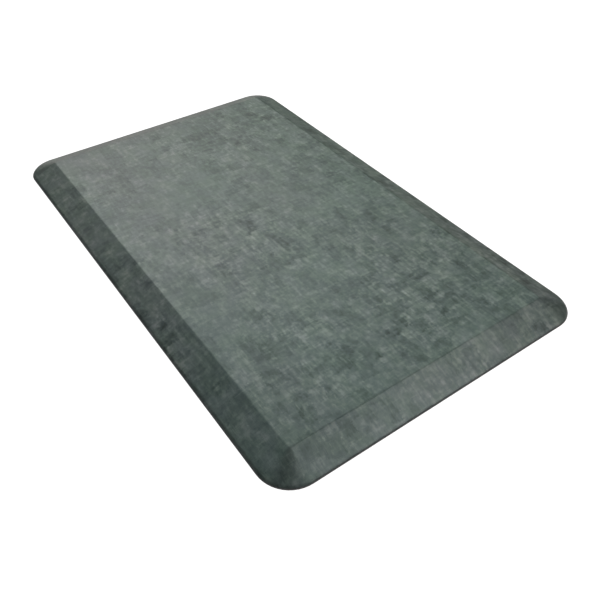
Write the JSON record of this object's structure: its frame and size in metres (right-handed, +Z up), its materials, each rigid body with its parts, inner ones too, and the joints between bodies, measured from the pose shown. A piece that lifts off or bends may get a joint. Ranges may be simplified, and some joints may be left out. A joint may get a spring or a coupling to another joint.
{
  "type": "anti fatigue mat",
  "caption": "Flat rectangular standing mat with a linen-look vinyl cover, long bevels on every side, rounded corners and a thin non-slip base.",
  "frame": {"origin": "centre of the underside, on the floor", "axes": "+X along the long side, +Y along the short side, +Z up through the thickness"},
  "size_m": [0.8128, 0.508, 0.0191],
  "materials": {
    "cover_vinyl": "satin",
    "gel_elastomer": "satin",
    "core_foam": "matte",
    "base_rubber": "matte"
  },
  "bodies": {
    "root": {"cover_sheet": "cover_vinyl", "gel_pad": "gel_elastomer", "foam_core": "core_foam", "base_sheet": "base_rubber"}
  },
  "joints": []
}
